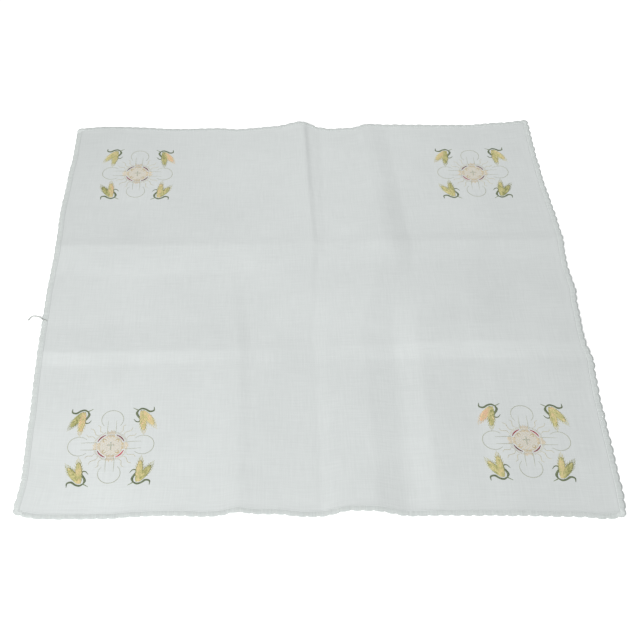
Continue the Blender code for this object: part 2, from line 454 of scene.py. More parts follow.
# %% [markdown]
# ## The linen ground
#
# The ground is one square of plain-weave linen. It starts as a grid. The grid's lines are first
# drawn together where the folds will be, so that a sharp crest gets enough of them. The turned
# hem is two rows of faces extruded out from the rim, the first of them stepping up a little, as
# much as shows of a hem that was pressed flat. A Solidify gives the sheet its two sides.

# %% Cut the square and turn its hem
CELLS = 204
HEM_WIDTH = 3.2 * MM
HEM_STEP_WIDTH = 1.2 * MM
HEM_RISE = 0.08 * MM
BODY_HALF = GROUND_HALF - HEM_WIDTH - HEM_STEP_WIDTH
# (centre of the gathered lines, half width, how many times as dense), in millimetres
GATHERS_X = ((-82, 12, 1.0), (-56, 14, 1.2), (4, 16, 2.0), (38, 24, 0.6), (82, 20, 0.8))
GATHERS_Y = ((-75, 14, 1.2), (-42, 8, 0.5), (67, 12, 1.2), (135, 10, 0.3))

bpy.ops.object.select_all(action="DESELECT")
bpy.ops.mesh.primitive_grid_add(x_subdivisions=CELLS, y_subdivisions=CELLS, size=2 * BODY_HALF)
linen = bpy.context.active_object
linen.name = "embroidered_linen"


def gathered(places, gathers):
    """Even places moved so that they lie closer together at each gather."""
    fine = np.linspace(-BODY_HALF, BODY_HALF, 4001)
    density = np.ones_like(fine)
    for centre, width, more in gathers:
        density += more * np.exp(-(((fine - MM * centre) / (MM * width)) ** 2))
    total = np.concatenate(([0], np.cumsum((density[1:] + density[:-1]) / 2)))
    total = mixed(-BODY_HALF, BODY_HALF, total / total[-1])
    return np.interp(places, total, fine)


points = points_of(linen)
points[:, 0] = gathered(points[:, 0], GATHERS_X)
points[:, 1] = gathered(points[:, 1], GATHERS_Y)
set_points(linen, points)

bpy.ops.object.mode_set(mode="EDIT")
bpy.ops.mesh.select_all(action="SELECT")
bpy.ops.mesh.region_to_loop()
step_growth = (BODY_HALF + HEM_STEP_WIDTH) / BODY_HALF
bpy.ops.mesh.extrude_edges_move(TRANSFORM_OT_translate={"value": (0, 0, HEM_RISE)})
bpy.ops.transform.resize(value=(step_growth, step_growth, 1), center_override=(0, 0, 0))
hem_growth = GROUND_HALF / (BODY_HALF + HEM_STEP_WIDTH)
bpy.ops.mesh.extrude_edges_move(TRANSFORM_OT_translate={"value": (0, 0, 0)})
bpy.ops.transform.resize(value=(hem_growth, hem_growth, 1), center_override=(0, 0, 0))
leave_edit_mode()
print("flat square", [round(1000 * d, 1) for d in linen.dimensions], "mm")


# %% Give it two sides and a map
def thicken(piece, thickness):
    """Turns a flat open sheet face up and makes it as thick as this, upwards from where it is."""
    if sum(face.normal.z * face.area for face in piece.data.polygons) < 0:
        piece.data.flip_normals()
    sides = piece.modifiers.new("Thickness", "SOLIDIFY")
    sides.thickness = thickness
    sides.offset = 1.0
    select_only(piece)
    bpy.ops.object.modifier_apply(modifier=sides.name)


def write_map(piece, name, places):
    """A UV map from one pair of values for each vertex."""
    mesh = piece.data
    corners = np.empty(len(mesh.loops), np.int32)
    mesh.loops.foreach_get("vertex_index", corners)
    layer = mesh.uv_layers.new(name=name)
    layer.data.foreach_set("uv", places[corners].astype(np.float32).ravel())


thicken(linen, LINEN_THICKNESS)
# The map holds each point's place on the flat cloth, in metres, instead of the grid's own map.
while linen.data.uv_layers:
    linen.data.uv_layers.remove(linen.data.uv_layers[0])
write_map(linen, "Flat cloth", points_of(linen)[:, :2])
# The cut edge stays crisp, so that the shade of the hem doesn't run into it.
SHARP_ANGLE = math.radians(40)
linen.data.shade_smooth()
linen.data.set_sharp_from_angle(angle=SHARP_ANGLE)
print("linen", count_triangles(linen), "triangles")

# %% [markdown]
# ## Linen
#
# Linen is woven from flax yarn in plain weave, about fourteen threads to the centimetre here. The
# yarn is uneven: each thick place, a slub, shows as a short streak along the warp or the weft, and
# that is what tells linen from cotton. Bleached linen is matt with a faint sheen where light
# grazes it, and a little cooler than paper white.
#
# Everything is drawn on the cloth's own flat map, so the threads bend with the folds. The weave is
# drawn a third coarser than the real 0.7 mm, so that it just shows in a picture of the whole cloth.

# %% Linen material
THREAD_PITCH = 0.95 * MM
WAVE_PERIOD = math.tau / 20
SLUB_WIDTH, SLUB_LENGTH = 1.3 * MM, 24 * MM
THREAD_WANDER = 0.6
THREAD_DEPTH = 0.25 * MM
# the weight of the weave in the relief, where the slubs weigh one
WEAVE_WEIGHT = 0.35
CLOUD_SCALE = 14.0
# from the darkest to the lightest value of the two slubs and the clouds together
TONE_LOW, TONE_HIGH = 1.15, 1.85


def cloth_material(name, darker, lighter, roughness, relief):
    """A plain weave with slubs, on the flat map of the cloth."""
    material = new_material(
        name, {"Roughness": roughness, "IOR": 1.47, "Sheen Weight": 0.12, "Sheen Roughness": 0.5}
    )
    tree = material.node_tree
    shader = tree.nodes["Principled BSDF"]
    place = add_node(tree, "ShaderNodeUVMap", uv_map="Flat cloth").outputs["UV"]
    threads, slubs = [], []
    for direction, wide, tall in (("X", SLUB_WIDTH, SLUB_LENGTH), ("Y", SLUB_LENGTH, SLUB_WIDTH)):
        wave = add_node(
            tree,
            "ShaderNodeTexWave",
            {
                "Vector": place,
                "Scale": WAVE_PERIOD / THREAD_PITCH,
                "Distortion": THREAD_WANDER,
                "Detail": 1.0,
            },
            bands_direction=direction,
        )
        threads.append(wave.outputs["Fac"])
        stretched = add_node(
            tree, "ShaderNodeMapping", {"Vector": place, "Scale": (1 / wide, 1 / tall, 1)}
        )
        uneven = add_node(
            tree, "ShaderNodeTexNoise", {"Vector": stretched.outputs["Vector"], "Scale": 1.0, "Detail": 2.0}
        )
        slubs.append(uneven.outputs["Fac"])
    weave = add_node(tree, "ShaderNodeMath", {0: threads[0], 1: threads[1]}, operation="MAXIMUM")
    slub = add_node(tree, "ShaderNodeMath", {0: slubs[0], 1: slubs[1]}, operation="ADD")
    relief_height = add_node(
        tree,
        "ShaderNodeMath",
        {0: weave.outputs[0], 1: WEAVE_WEIGHT, 2: slub.outputs[0]},
        operation="MULTIPLY_ADD",
    )
    cloudy = add_node(tree, "ShaderNodeTexNoise", {"Vector": place, "Scale": CLOUD_SCALE, "Detail": 3.0})
    tone = add_node(
        tree, "ShaderNodeMath", {0: slub.outputs[0], 1: cloudy.outputs["Fac"]}, operation="ADD"
    )
    shade = add_node(
        tree,
        "ShaderNodeMapRange",
        {"Value": tone.outputs[0], "From Min": TONE_LOW, "From Max": TONE_HIGH},
    )
    colour = add_node(
        tree,
        "ShaderNodeMix",
        {0: shade.outputs["Result"], 6: linear(darker), 7: linear(lighter)},
        data_type="RGBA",
    )
    bump = add_node(
        tree,
        "ShaderNodeBump",
        {"Height": relief_height.outputs[0], "Strength": relief, "Distance": THREAD_DEPTH},
    )
    tree.links.new(colour.outputs[2], shader.inputs["Base Color"])
    tree.links.new(bump.outputs["Normal"], shader.inputs["Normal"])
    return material


bleached_linen = cloth_material("Bleached plain-weave linen", "#C2C6C5", "#C9CDCC", 0.9, 0.3)
linen.data.materials.append(bleached_linen)
print("weave drawn every", round(1000 * THREAD_PITCH, 2), "mm")

# %% [markdown]
# ## Threads
#
# Embroidery thread is smoother than linen yarn: rayon or polyester, two plies twisted together,
# with a silky gloss along its length. The wheat is sewn with a shaded thread that wanders from
# straw to peach and olive. The edging is soft cotton, much less glossy.
#
# Each material reads the tone that the sewing list gave to a stitch, and runs the twist along the
# thread's own map. The real twist is about 0.7 mm from ply to ply.

# %% Thread materials
PLY_TWIST = 0.7 * MM
PLY_ANGLE = math.radians(35)
PLY_DEPTH = 0.08 * MM


def thread_material(name, shades, roughness, sheen):
    """A twisted thread. Its shades, sRGB hex, run from tone 0 to tone 1."""
    material = new_material(
        name, {"Roughness": roughness, "IOR": 1.5, "Sheen Weight": sheen, "Sheen Roughness": 0.35}
    )
    tree = material.node_tree
    shader = tree.nodes["Principled BSDF"]
    tone = add_node(tree, "ShaderNodeAttribute", attribute_name="Tone").outputs["Fac"]
    place = add_node(tree, "ShaderNodeUVMap", uv_map="Thread").outputs["UV"]
    ramp = add_node(tree, "ShaderNodeValToRGB", {"Fac": tone})
    # A new ramp has a stop at each end, so only the shades between them need a stop of their own.
    stops = ramp.color_ramp.elements
    for number in range(1, len(shades) - 1):
        stops.new(number / (len(shades) - 1))
    for stop, shade in zip(stops, shades):
        stop.color = linear(shade)
    slanted = add_node(tree, "ShaderNodeMapping", {"Vector": place, "Rotation": (0, 0, PLY_ANGLE)})
    plies = add_node(
        tree,
        "ShaderNodeTexWave",
        {"Vector": slanted.outputs["Vector"], "Scale": WAVE_PERIOD / PLY_TWIST},
    )
    bump = add_node(
        tree,
        "ShaderNodeBump",
        {"Height": plies.outputs["Fac"], "Strength": 0.5, "Distance": PLY_DEPTH},
    )
    tree.links.new(ramp.outputs["Color"], shader.inputs["Base Color"])
    tree.links.new(bump.outputs["Normal"], shader.inputs["Normal"])
    return material


EDGING_THREADS = [
    thread_material("White cotton edging thread", ("#C2C7C5", "#D6DBD9"), 0.85, 0.1),
    thread_material("White cotton edging band", ("#C0C5C3", "#D3D8D6"), 0.9, 0.1),
]
EMBROIDERY_THREADS = {
    "outline": thread_material("Grey-green rayon thread", ("#A6AA9C", "#B9BBAD"), 0.5, 0.1),
    "ray": thread_material("Cream rayon thread", ("#AEA98F", "#C3BDA3"), 0.5, 0.1),
    "bar": thread_material("Honey cream rayon thread", ("#B5A47A", "#D0BC98"), 0.5, 0.1),
    "ring": thread_material("Shaded crimson rayon thread", ("#45281F", "#9C2A36", "#CE3448"), 0.45, 0.1),
    "leaf": thread_material("Moss green rayon thread", ("#46523E", "#7C8660"), 0.45, 0.1),
    "wheat": thread_material(
        "Shaded straw rayon thread", ("#888A56", "#B7B37C", "#C9BC8C", "#D6B292"), 0.5, 0.1
    ),
}
THREAD_NUMBER = {name: number for number, name in enumerate(EMBROIDERY_THREADS)}
print("threads:", ", ".join(EMBROIDERY_THREADS))

# %% [markdown]
# ## One stitch
#
# All the sewing is made of the same thing: a short length of thread that comes up through the
# cloth, lies over it in a low arch and goes down again. One stitch is modelled here, one unit
# long, from a four-sided cylinder with two more rings. Its ends are drawn in and lowered. Copies
# of it, stretched between two points, become satin stitch, long stitch and edging.

# %% Model the stitch
# the two ends of the stitch, as shares of its length, width and height
END_LENGTH, END_WIDTH, END_HEIGHT, END_DROP = 0.2, 0.4, 0.3, 0.2
STITCH_LIFT = 0.35

bpy.ops.object.select_all(action="DESELECT")
bpy.ops.mesh.primitive_cylinder_add(
    vertices=4, radius=0.5, depth=1.0, location=(0.5, 0, 0), rotation=(0, math.pi / 2, 0)
)
stitch = bpy.context.active_object
stitch.name = "stitch"
bpy.ops.object.transform_apply(location=True, rotation=True, scale=True)


def select_points(piece, rule):
    """In Edit Mode, selects the vertices whose place passes the rule."""
    shape = bmesh.from_edit_mesh(piece.data)
    for vertex in shape.verts:
        vertex.select = bool(rule(vertex.co))
    shape.select_flush_mode()
    bmesh.update_edit_mesh(piece.data)


bpy.ops.object.mode_set(mode="EDIT")
bpy.ops.mesh.select_mode(type="VERT")
for ring in (END_LENGTH, 1 - END_LENGTH):
    bpy.ops.mesh.select_all(action="SELECT")
    bpy.ops.mesh.bisect(plane_co=(ring, 0, 0), plane_no=(1, 0, 0))
select_points(stitch, lambda place: abs(place.x - 0.5) > 0.4)
bpy.ops.transform.resize(value=(1, END_WIDTH, END_HEIGHT), center_override=(0, 0, 0))
bpy.ops.transform.translate(value=(0, 0, -END_DROP))
bpy.ops.mesh.select_all(action="SELECT")
bpy.ops.transform.translate(value=(0, 0, STITCH_LIFT))
leave_edit_mode()
print("one stitch has", count_triangles(stitch), "triangles")

# %% [markdown]
# A sewing list has one row for each stitch: where it starts and ends, how wide and high the
# thread is, which thread it is, and a tone that says which shade of that thread it took. One
# function turns such a list into a mesh. It also writes a UV map that runs along each thread, so
# the twist of the thread can follow it.

# %% Copies and sewing lists
MESH_OF_STITCH = points_of(stitch)
SEWING_ROW = (
    "start x", "start y", "start z", "end x", "end y", "end z", "width", "height", "tone", "thread"
)
TONE_JITTER = 0.12
# Every draw comes from this one generator, so each run sews the same cloth.
chance = np.random.default_rng(50)


def joined_copies(name, master, places):
    """One piece made of many copies of a master, from the places of each copy's vertices."""
    count, size, _ = places.shape
    faces = [tuple(face.vertices) for face in master.data.polygons]
    copied = [tuple(v + size * copy for v in face) for copy in range(count) for face in faces]
    mesh = bpy.data.meshes.new(name)
    mesh.from_pydata(places.reshape(-1, 3).tolist(), [], copied)
    mesh.shade_smooth()
    return new_object(name, mesh)


def thread_data(piece, along, across, tone):
    """Writes a thread's UV map and its tone from one value for each vertex."""
    write_map(piece, "Thread", np.column_stack((along, across)))
    shade = piece.data.attributes.new("Tone", "FLOAT", "POINT")
    shade.data.foreach_set("value", np.asarray(tone, np.float32))


def sewn(name, rows, threads):
    """A piece made of the stitches in a sewing list, still on the flat cloth."""
    rows = np.concatenate(rows)
    start, end = rows[:, 0:3], rows[:, 3:6]
    width, height, tone, thread = (rows[:, column, None] for column in (6, 7, 8, 9))
    run = end - start
    length = np.hypot(run[:, 0], run[:, 1])[:, None]
    aside = np.column_stack((-run[:, 1], run[:, 0], 0 * run[:, 0])) / length
    along, across, up = MESH_OF_STITCH.T
    places = start[:, None, :] + along[None, :, None] * run[:, None, :]
    places += (across * width)[:, :, None] * aside[:, None, :]
    places[:, :, 2] += up * height
    piece = joined_copies(name, stitch, places)
    thread_data(piece, (along * length).ravel(), (across * width).ravel(), (tone + 0 * along).ravel())
    for material in threads:
        piece.data.materials.append(material)
    faces = len(stitch.data.polygons)
    piece.data.polygons.foreach_set("material_index", np.repeat(thread.ravel(), faces).astype(np.int32))
    return piece


def stitches(start, end, z_start, z_end, width, height, tone=0.5, thread=0):
    """Rows for a sewing list, from arrays of flat start and end points."""
    start, end = np.atleast_2d(start), np.atleast_2d(end)
    rows = np.zeros((len(start), len(SEWING_ROW)))
    rows[:, 0:2], rows[:, 3:5] = start, end
    for column, value in zip((2, 5, 6, 7, 8, 9), (z_start, z_end, width, height, tone, thread)):
        rows[:, column] = value
    return rows


def uneven_tones(tone, count):
    """A tone for each of a number of stitches, all a little off the one that is asked for."""
    return np.clip(tone + chance.normal(0, TONE_JITTER, count), 0, 1)


print("a row of a sewing list:", ", ".join(SEWING_ROW))

# %% [markdown]
# ## The scalloped edging
#
# Round the hem runs a narrow band of cotton whose outer side is a row of shallow scallops, with
# buttonhole stitch over it: threads side by side from the hem out to the scallop, and a corded
# rim where they turn. The band under the stitches is one scallop, modelled from half a disc with
# a strip extruded from its straight side. It is copied along the side, and each copy is a little
# deeper or shallower, as pressing leaves it. A round petal turns each corner. The iron has pushed
# some petals in towards the hem.
#
# The cotton is drawn a little lighter than the linen, because the small gaps between the threads
# darken it, and the left side is a shade greyer than the others. One side is made as the front
# side, then turned into place for the other three.

# %% Model one scallop of the band
SCALLOPS_BETWEEN_PETALS = SCALLOPS_A_SIDE - 1
PETAL_REACH = 6.0 * MM
PETAL_RADIUS = 4.33 * MM
PETAL_CENTRE = TROUGH - 2.4 * MM
RUN_HALF = TROUGH - PETAL_REACH
SCALLOP_WIDTH = 2 * RUN_HALF / SCALLOPS_BETWEEN_PETALS
BAND_BOTTOM = 0.05 * MM
BAND_THICKNESS = 0.45 * MM
UNDER_HEM = 0.6 * MM
CUTS_A_SCALLOP = 7

bpy.ops.object.select_all(action="DESELECT")
bpy.ops.mesh.primitive_circle_add(vertices=24, radius=SCALLOP_WIDTH / 2, fill_type="NGON")
scallop = bpy.context.active_object
scallop.name = "scallop"
bpy.ops.object.mode_set(mode="EDIT")
bpy.ops.mesh.select_all(action="SELECT")
bpy.ops.mesh.bisect(plane_co=(0, 0, 0), plane_no=(0, 1, 0), clear_outer=True, use_fill=False)
bpy.ops.mesh.select_all(action="SELECT")
bpy.ops.transform.resize(value=(1, 2 * SCALLOP_DEPTH / SCALLOP_WIDTH, 1), center_override=(0, 0, 0))
select_points(scallop, lambda place: abs(place.y) < 0.01 * MM)
bpy.ops.mesh.extrude_edges_move(TRANSFORM_OT_translate={"value": (0, BAND_WIDTH + UNDER_HEM, 0)})
# Cuts across the band let it bend where a fold runs through it.
for cut in np.linspace(-SCALLOP_WIDTH / 2, SCALLOP_WIDTH / 2, CUTS_A_SCALLOP + 2)[1:-1]:
    bpy.ops.mesh.select_all(action="SELECT")
    bpy.ops.mesh.bisect(plane_co=(cut, 0, 0), plane_no=(1, 0, 0))
leave_edit_mode()
thicken(scallop, BAND_THICKNESS)
print("scallop", [round(1000 * d, 2) for d in scallop.dimensions], "mm,", count_triangles(scallop))

# %% Model the corner petal
PETAL_INSET, PETAL_RISE = 0.35 * PETAL_RADIUS, 0.08 * MM

bpy.ops.object.select_all(action="DESELECT")
bpy.ops.mesh.primitive_circle_add(vertices=32, radius=PETAL_RADIUS, fill_type="NGON")
petal = bpy.context.active_object
petal.name = "petal"
bpy.ops.object.mode_set(mode="EDIT")
bpy.ops.mesh.select_all(action="SELECT")
bpy.ops.mesh.inset(thickness=PETAL_INSET)
bpy.ops.mesh.extrude_region_move(TRANSFORM_OT_translate={"value": (0, 0, PETAL_RISE)})
leave_edit_mode()
thicken(petal, BAND_THICKNESS)
print("petal", [round(1000 * d, 2) for d in petal.dimensions], "mm,", count_triangles(petal))

# %% [markdown]
# The stitches of a side need three lines: the inner line on the hem, the scalloped rim, and the
# petal's rim. On the left side and the far left the scallops were pressed nearly flat, so a table
# gives how boldly they stand at the start and the end of each side.

# %% Sew one side's edging
QUARTER_TURNS = {side: turns for turns, side in enumerate(SIDES)}
# how boldly the scallops stand, at the start and the end of each side, going round anticlockwise
BOLDNESS = {"front": (0.65, 1.0), "right": (1.0, 1.0), "back": (1.0, 0.5), "left": (0.5, 0.6)}
LEAST_BOLD, MOST_BOLD = 0.85, 1.12
# how well the cotton of each side has bleached, as the tone of its thread
BLEACHED = {"front": 0.65, "right": 0.5, "back": 0.85, "left": 0.3}
# how far the petal at the end of each side was pressed in towards the hem
PETAL_TUCK = {"front": 0.9 * MM, "right": 0.1 * MM, "back": 0.8 * MM, "left": 1.3 * MM}
PETAL_SINK = 0.02 * MM
# The stitches round the petal fan out from a small hub, which lies a little nearer to the hem.
PETAL_STITCHES = 24
FAN = np.radians(np.linspace(-146, 56, PETAL_STITCHES))
FAN_HUB_RADIUS, FAN_HUB_SHIFT = 0.25 * PETAL_RADIUS, 1.2 * MM
STITCHES_A_SCALLOP = 14
INNER_LINE = GROUND_HALF - 1.0 * MM
HEM_TOP = LINEN_THICKNESS + HEM_RISE
# width and height of the threads over the band, of the cord and of the seam
OVER_THREAD = (0.8 * MM, 0.18 * MM)
CORD_THREAD = (0.6 * MM, 0.5 * MM)
SEAM_THREAD = (0.45 * MM, 0.09 * MM)
OVER_SINK, OVER_TOP, OVER_JITTER = 0.08 * MM, 0.48 * MM, 0.08 * MM
CORD_FOOT = 0.2 * MM
SEAM_PITCH, SEAM_STITCH, SEAM_INSET = 1.7 * MM, 1.9 * MM, 0.2 * MM


def turned(places, turns):
    """Places turned about the cloth's middle by quarter turns."""
    for _ in range(turns):
        places = np.stack((-places[..., 1], places[..., 0], places[..., 2]), axis=-1)
    return places


def edging_side(side):
    """One side's band and stitches, on the flat cloth."""
    turns, bleached = QUARTER_TURNS[side], BLEACHED[side]
    number = np.arange(SCALLOPS_BETWEEN_PETALS)
    first, last = BOLDNESS[side]
    bold = mixed(first, last, number / number[-1])
    bold *= chance.uniform(LEAST_BOLD, MOST_BOLD, len(number))
    middle = -RUN_HALF + (number + 0.5) * SCALLOP_WIDTH

    # the band
    places = np.repeat(points_of(scallop)[None], len(number), axis=0)
    outside = places[:, :, 1] < 0
    places[:, :, 1] = np.where(outside, places[:, :, 1] * bold[:, None], places[:, :, 1]) - TROUGH
    places[:, :, 0] += middle[:, None]
    places[:, :, 2] += BAND_BOTTOM
    runs = joined_copies("edging_band", scallop, turned(places, turns))
    centre = PETAL_CENTRE - PETAL_TUCK[side]
    disc = points_of(petal)[None] + np.array((centre, -centre, BAND_BOTTOM - PETAL_SINK))
    corner = joined_copies("edging_petal", petal, turned(disc, turns))
    for part in (runs, corner):
        flat = points_of(part)
        thread_data(part, flat[:, 0], flat[:, 1], np.full(len(flat), bleached))
        part.data.materials.append(EDGING_THREADS[1])

    # the points of the rim, along the run and then round the petal
    share = (np.arange(STITCHES_A_SCALLOP * len(number)) + 0.5) / STITCHES_A_SCALLOP
    within, which = share % 1, share.astype(int)
    rim = np.column_stack((
        -RUN_HALF + share * SCALLOP_WIDTH,
        -TROUGH - bold[which] * SCALLOP_DEPTH * np.sqrt(1 - (2 * within - 1) ** 2),
    ))
    inner = np.column_stack((rim[:, 0], np.full(len(rim), -INNER_LINE)))
    diagonal, fan = np.array((1, -1)), np.column_stack((np.cos(FAN), np.sin(FAN)))
    rim = np.concatenate((rim, centre * diagonal + PETAL_RADIUS * fan))
    inner = np.concatenate((inner, (centre - FAN_HUB_SHIFT) * diagonal + FAN_HUB_RADIUS * fan))

    # the sewing: threads over the band, the cord along the rim, and the seam on the hem
    tones = uneven_tones(bleached, len(rim))
    over = stitches(inner, rim, HEM_TOP - OVER_SINK, OVER_TOP, *OVER_THREAD, tones)
    over[:, 0:2] += chance.normal(0, OVER_JITTER, (len(rim), 2))
    cord = stitches(rim[:-1], rim[1:], CORD_FOOT, CORD_FOOT, *CORD_THREAD, bleached)
    seam_x = np.arange(-INNER_LINE, INNER_LINE, SEAM_PITCH)
    seam = np.column_stack((seam_x, np.full(len(seam_x), -INNER_LINE + SEAM_INSET)))
    seam = stitches(seam, seam + (SEAM_STITCH, 0), HEM_TOP, HEM_TOP, *SEAM_THREAD, bleached)
    rows = np.concatenate((over, cord, seam))
    for column in (0, 3):
        rows[:, column : column + 3] = turned(rows[:, column : column + 3], turns)
    edging = sewn("scalloped_edging_" + side, [rows], EDGING_THREADS)
    select_only(edging, runs, corner)
    bpy.ops.object.join()
    return edging


edgings = {side: edging_side(side) for side in SIDES}
for piece in (scallop, petal):
    bpy.data.objects.remove(piece, do_unlink=True)
print("edging:", {side: count_triangles(piece) for side, piece in edgings.items()}, "triangles")

# %% [markdown]
# ## The corner embroidery
#
# Each corner has the same machine-embroidered motif, about 75 mm across: a cross whose four arms
# end in open loops, a ring in four red arcs, wavy rays between the arms, and four sprigs, each
# with two ears of wheat and two curled leaves. Inside the ring a disc of cream running stitch is
# filled in row by row, with a small curl towards each arc and short ticks round the rim. These are
# old and common altar-linen ornaments, drawn here afresh from simple curves, and the middle has a
# small plain cross.
#
# Machine embroidery is mostly satin stitch: threads laid side by side across a path, touching
# each other, so a narrow path becomes a raised shiny line. One function lays satin stitch along a
# smooth curve through a few points. Drawing with points in millimetres and letting the function
# count the stitches is close to how embroidery is really planned. The real thread is 0.4 mm wide,
# and it is drawn a little wider here.

# %% Curves and satin stitch
SATIN_PITCH = 0.45
# Neighbouring threads lie closer than their width and a little aslant.
SATIN_THREAD, SATIN_SLANT = 1.7 * SATIN_PITCH, 0.3
SEWN_LIFT = 0.38


def smooth_path(points, pitch):
    """Places every pitch along a smooth curve through points, with the direction at each."""
    points = np.asarray(points, float)
    ends = 2 * points[0] - points[1], 2 * points[-1] - points[-2]
    padded = np.concatenate((ends[:1], points, ends[1:]))
    t = np.linspace(0, 1, 24, endpoint=False)[:, None]
    spans = [
        b + 0.5 * ((c - a) * t + (2 * a - 5 * b + 4 * c - d) * t**2 + (3 * b - a - 3 * c + d) * t**3)
        for a, b, c, d in zip(padded, padded[1:], padded[2:], padded[3:])
    ]
    fine = np.concatenate(spans + [points[-1:]])
    travelled = np.concatenate(([0], np.cumsum(np.hypot(*np.diff(fine, axis=0).T))))
    count = max(2, round(travelled[-1] / pitch) + 1)
    at = np.linspace(0, travelled[-1], count)
    path = np.column_stack([np.interp(at, travelled, fine[:, axis]) for axis in (0, 1)])
    heading = np.gradient(path, axis=0)
    return path, heading / np.hypot(*heading.T)[:, None]


def satin(points, widths, thread, tone=0.5):
    """Satin stitch along a path, as wide as the widths spaced evenly along it."""
    path, heading = smooth_path(points, SATIN_PITCH)
    share = np.linspace(0, 1, len(path))
    width = np.interp(share, np.linspace(0, 1, len(widths)), widths)[:, None]
    across = np.column_stack((-heading[:, 1], heading[:, 0])) + SATIN_SLANT * heading
    tones = uneven_tones(tone, len(path))
    start, end = path - across * width / 2, path + across * width / 2
    high = 0.22 + 0.12 * width[:, 0]
    return stitches(start, end, SEWN_LIFT, SEWN_LIFT, SATIN_THREAD, high, tones, THREAD_NUMBER[thread])


def long_stitches(start, end, width, thread, tone=0.5, lift=SEWN_LIFT, high=0.3):
    """Single threads from start points to end points."""
    start, end = np.atleast_2d(start), np.atleast_2d(end)
    tones = uneven_tones(tone, len(start))
    return stitches(start, end, lift, lift, width, high, tones, THREAD_NUMBER[thread])


def mapped(rows, matrix, shift=(0, 0)):
    """The rows turned, mirrored or moved on the flat cloth."""
    rows = rows.copy()
    for column in (0, 3):
        rows[:, column : column + 2] = rows[:, column : column + 2] @ np.transpose(matrix) + shift
    return rows


def turn_by(degrees):
    c, s = math.cos(math.radians(degrees)), math.sin(math.radians(degrees))
    return np.array(((c, -s), (s, c)))


def ray(angle, distance, aside=0.0):
    """The point at a distance from the middle along an angle, moved aside to its left."""
    c, s = math.cos(math.radians(angle)), math.sin(math.radians(angle))
    return np.array((distance * c - aside * s, distance * s + aside * c))


print("satin stitch every", SATIN_PITCH, "mm")

# %% [markdown]
# The cross is drawn once, as the arm that points right and the quarter next to it, and turned
# three times. The stems taper away from the ring, and the loops are left open towards it.

# %% The cross, its ring and its rays, in millimetres
LOOP_CENTRE, LOOP_RADIUS, LOOP_OPENING = 27.6, 9.6, 48
RING_RADIUS = 12.2
RAY_ANGLES = (29, 45, 61)
CURL_CENTRE, CURL_RADIUS = np.array((5.6, 5.6)), 1.4
FILL_RADIUS, FILL_PITCH, FILL_STITCH = 11.2, 0.8, 3.2


def quarter_of_cross(ring_tone):
    """The arm that points right, with the arc, curl, ticks and rays to its left."""
    rows = []
    around = np.linspace(180 - LOOP_OPENING, LOOP_OPENING - 180, 14)
    loop = [ray(0, LOOP_CENTRE) + LOOP_RADIUS * ray(a, 1) for a in around]
    rows.append(satin(loop, (0.4, 0.7, 0.7, 0.7, 0.4), "outline", 0.5))
    for side in (-1, 1):
        stem = [(12.6, 3.6 * side), (19, 3.7 * side), (26, 3.5 * side)]
        rows.append(satin(stem, (0.7, 0.55, 0.25), "outline", 0.7))
    for y in np.linspace(-2.9, 2.9, 7):
        ends = np.array(((9.0, y), (12.0, y), (15.4 + chance.uniform(-1.2, 1.2), y)))
        rows.append(long_stitches(ends[:-1], ends[1:] + (0.1, 0), 0.55, "bar", (0.5, 0.85)))
    arc = [ray(a, RING_RADIUS) for a in (23, 34, 45, 56, 67)]
    rows.append(satin(arc, (0.6, 1.2, 1.2, 0.6), "ring", ring_tone))
    curl = [CURL_CENTRE + CURL_RADIUS * ray(a, 1) for a in range(-90, 181, 45)]
    rows.append(satin(curl, (0.3, 0.7, 0.7, 0.4), "bar", 0.0))
    for a in range(20, 71, 5):
        rows.append(long_stitches(ray(a, 9.9), ray(a + 3, 10.3), 0.5, "bar", 0.1))
        rows.append(long_stitches(ray(a, 13.2), ray(a + 1.5, 15.4), 0.45, "ray", 0.4))
    for number, angle in enumerate(RAY_ANGLES):
        near, far = 16.0 - 0.8 * (number == 1), 24.6 + 1.2 * (number == 1)
        bend = 1.0 if number < 2 else -1.0
        wave = [ray(angle, mixed(near, far, t), bend * math.sin(math.tau * t)) for t in (0, .25, .5, .75, 1)]
        rows.append(satin(wave, (0.3, 0.5, 0.45, 0.3), "ray", 0.75))
    return np.concatenate(rows)


def disc_fill():
    """Rows of running stitch that fill the ring, each row half a stitch behind the last."""
    rows = []
    for number, y in enumerate(np.arange(-FILL_RADIUS, FILL_RADIUS + 0.01, FILL_PITCH)):
        reach = math.sqrt(max(FILL_RADIUS**2 - y**2, 0))
        starts = np.arange(-reach + FILL_STITCH / 2 * (number % 2), reach - 1, FILL_STITCH)
        for x in starts:
            far = min(x + FILL_STITCH - 0.1, reach)
            rows.append(long_stitches((x, y), (far, y), 0.5, "bar", 0.75, high=0.16))
    return np.concatenate(rows)


def middle_cross():
    upright = satin([(0, -3.8), (0, 0), (0, 3.8)], (1.2, 0.9, 1.2), "outline", 0.3)
    crossbar = satin([(-2.7, 0.9), (0, 0.9), (2.7, 0.9)], (1.2, 0.9, 1.2), "outline", 0.3)
    return np.concatenate((upright, crossbar))


print("a quarter of the cross:", len(quarter_of_cross(0.5)), "stitches")

# %% [markdown]
# An ear of wheat is three rows of grains, the outer two leaning out from the stalk. Each grain is
# a lens of long stitches with a darker thread beside it, and thin awns stand above. The leaves are
# satin stitch again, widest in the middle.

# %% A sprig of wheat, in millimetres
GRAINS_A_ROW = 7
GRAIN_LENGTH = 4.6
THREADS_A_GRAIN = np.array((-0.9, -0.45, 0.0, 0.45, 0.9))
